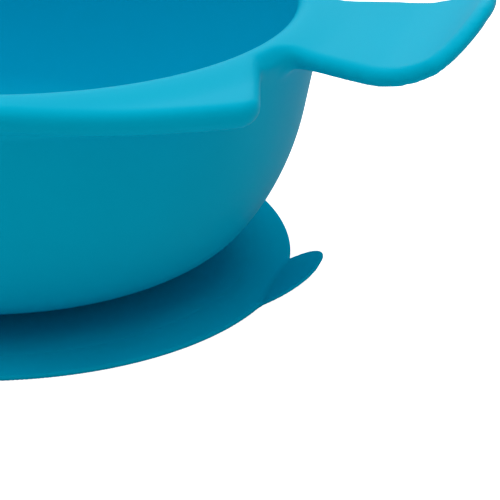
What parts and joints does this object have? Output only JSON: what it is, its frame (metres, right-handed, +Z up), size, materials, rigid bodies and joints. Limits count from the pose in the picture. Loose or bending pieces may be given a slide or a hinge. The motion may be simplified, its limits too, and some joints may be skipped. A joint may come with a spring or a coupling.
{
  "type": "suction bowl",
  "caption": "Round soft silicone feeding bowl with a wide flat rim, curled paddle handles and a suction foot with a lift tab.",
  "frame": {"origin": "middle of the sealing lip's underside, on the table, on the cup's axis", "axes": "+Z up, +X along the line through the two handles and over the pull tab"},
  "size_m": [0.1726, 0.1182, 0.0562],
  "materials": {
    "silicone_bowl": "satin moulded silicone",
    "silicone_foot": "satin moulded silicone"
  },
  "bodies": {
    "suction_foot": {"sealing_lip": "silicone_foot", "suction_skirt": "silicone_foot"},
    "bowl": {"bowl_shell": "silicone_bowl", "neck_boss": "silicone_foot"},
    "tab": {"pull_tab": "silicone_foot"}
  },
  "joints": [
    {"name": "bowl_press", "type": "slide", "parent": "suction_foot", "child": "bowl", "axis": [0, 0, -1], "range_m": [0, 0.002], "stiffness_N_per_m": 7500, "springref_m": -0.0006, "deforming": ["suction_skirt"]},
    {"name": "tab_lift", "type": "hinge", "parent": "suction_foot", "child": "tab", "pos_m": [0.0539, 0, 0.00085], "axis": [0, -1, 0], "range_deg": [-25, 50], "stiffness_Nm_per_rad": 0.01}
  ]
}
